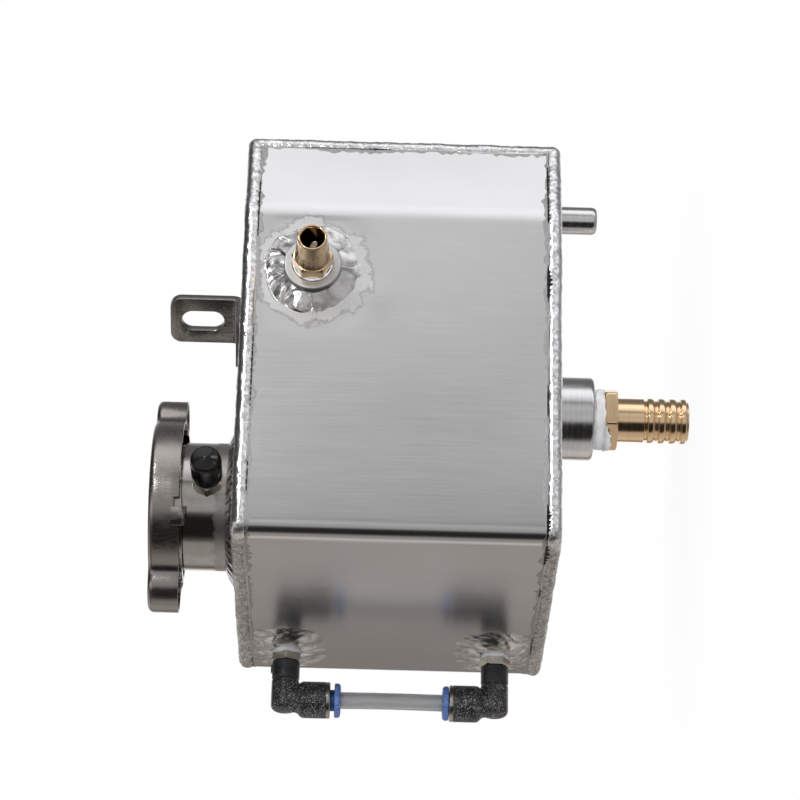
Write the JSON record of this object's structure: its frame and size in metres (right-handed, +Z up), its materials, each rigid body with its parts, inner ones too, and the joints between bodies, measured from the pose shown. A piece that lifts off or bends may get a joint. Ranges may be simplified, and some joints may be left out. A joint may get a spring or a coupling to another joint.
{
  "type": "coolant expansion tank",
  "caption": "Welded sheet aluminium coolant tank with a two-eared pressure cap, brass hose barb and vent nipple, slotted bracket, locating pin and clear sight tube.",
  "frame": {"origin": "on the locating pin's axis, at the crest of the pin's weld, which seats a bush 1.5 mm below the tank's bottom plate", "axes": "+Z up, away from the pin and towards the filler cap; -Y is the side with the sight tube; +X is the broad face with the vent nipple"},
  "size_m": [0.1558, 0.1839, 0.191],
  "materials": {
    "brushed_sheet": "satin, finely brushed along the height",
    "end_plate": "satin, finely brushed",
    "seam_weld": "bright rippled weld",
    "fillet_weld": "bright rippled weld",
    "turned_aluminium": "turned, satin",
    "plain_brass": "pale turned brass",
    "brass": "turned brass",
    "black_rubber": "smooth black",
    "seal_rubber": "matt black",
    "thread_tape": "white rolled tape",
    "bracket_metal": "brushed, darker",
    "black_plastic": "moulded, lightly speckled",
    "guide_metal": "plated ring",
    "blue_plastic": "moulded blue",
    "clear_tube": "clear flexible tube",
    "cap_steel": "satin stainless",
    "rivet_steel": "bright rivet",
    "inner_steel": "pressed steel",
    "spring_steel": "drawn wire"
  },
  "bodies": {
    "tank": {"wrap_sheet": "brushed_sheet", "top_plate": "end_plate", "bottom_plate": "end_plate", "top_seam_weld": "seam_weld", "bottom_seam_weld": "seam_weld", "side_seam_weld": "seam_weld", "filler_neck": "turned_aluminium", "neck_weld": "fillet_weld", "overflow_fitting": "plain_brass", "vent_bung": "turned_aluminium", "vent_weld": "fillet_weld", "vent_nipple": "brass", "vent_tape": "thread_tape", "outlet_bung": "turned_aluminium", "outlet_weld": "fillet_weld", "outlet_barb": "brass", "outlet_tape": "thread_tape", "locating_pin": "turned_aluminium", "pin_weld": "fillet_weld", "bracket": "bracket_metal", "bracket_weld": "fillet_weld", "upper_sight_bung": "turned_aluminium", "upper_sight_weld": "fillet_weld", "upper_stud": "plain_brass", "upper_stud_tape": "thread_tape", "upper_elbow": "black_plastic", "upper_guide_ring": "guide_metal", "upper_o_ring": "seal_rubber", "upper_grab_ring": "guide_metal", "lower_sight_bung": "turned_aluminium", "lower_sight_weld": "fillet_weld", "lower_stud": "plain_brass", "lower_stud_tape": "thread_tape", "lower_elbow": "black_plastic", "lower_guide_ring": "guide_metal", "lower_o_ring": "seal_rubber", "lower_grab_ring": "guide_metal", "sight_tube": "clear_tube"},
    "cap_disc": {"cap_disc": "inner_steel", "lip_gasket": "seal_rubber"},
    "cap": {"cap_shell": "cap_steel", "cap_rivet": "rivet_steel", "cap_cage": "inner_steel", "main_spring": "spring_steel"},
    "pressure_plate": {"pressure_plate": "inner_steel", "seat_gasket": "seal_rubber", "vacuum_spring": "spring_steel"},
    "vacuum_valve": {"vacuum_valve": "plain_brass"},
    "blanking_cap": {"overflow_cap": "black_rubber"},
    "upper_collar": {"upper_collar": "blue_plastic"},
    "lower_collar": {"lower_collar": "blue_plastic"}
  },
  "joints": [
    {"name": "cap_rise", "type": "slide", "parent": "tank", "child": "cap_disc", "axis": [0, 0, 1], "range_m": [0, 0.0016]},
    {"name": "cap_turn", "type": "hinge", "parent": "cap_disc", "child": "cap", "pos_m": [-0.0255, -0.106, 0.1375], "axis": [0, 0, 1], "range_deg": [0, 90]},
    {"name": "pressure_relief", "type": "slide", "parent": "cap", "child": "pressure_plate", "axis": [0, 0, 1], "range_m": [0, 0.003], "stiffness_N_per_m": 6000, "springref_m": -0.006, "deforming": ["main_spring"]},
    {"name": "vacuum_relief", "type": "slide", "parent": "pressure_plate", "child": "vacuum_valve", "axis": [0, 0, -1], "range_m": [0, 0.0015], "stiffness_N_per_m": 300, "springref_m": -0.003, "deforming": ["vacuum_spring"]},
    {"name": "blanking_cap_pull", "type": "slide", "parent": "tank", "child": "blanking_cap", "axis": [1, 0, 0], "range_m": [0, 0.015]},
    {"name": "upper_collar_press", "type": "slide", "parent": "tank", "child": "upper_collar", "axis": [0, 0, 1], "range_m": [0, 0.0013]},
    {"name": "lower_collar_release", "type": "slide", "parent": "tank", "child": "lower_collar", "axis": [0, 0, 1], "range_m": [0, 0.0013]}
  ],
  "couplings": [
    {"joint": "cap_rise", "follows": "cap_turn", "m_per_rad": 0.0010186}
  ]
}
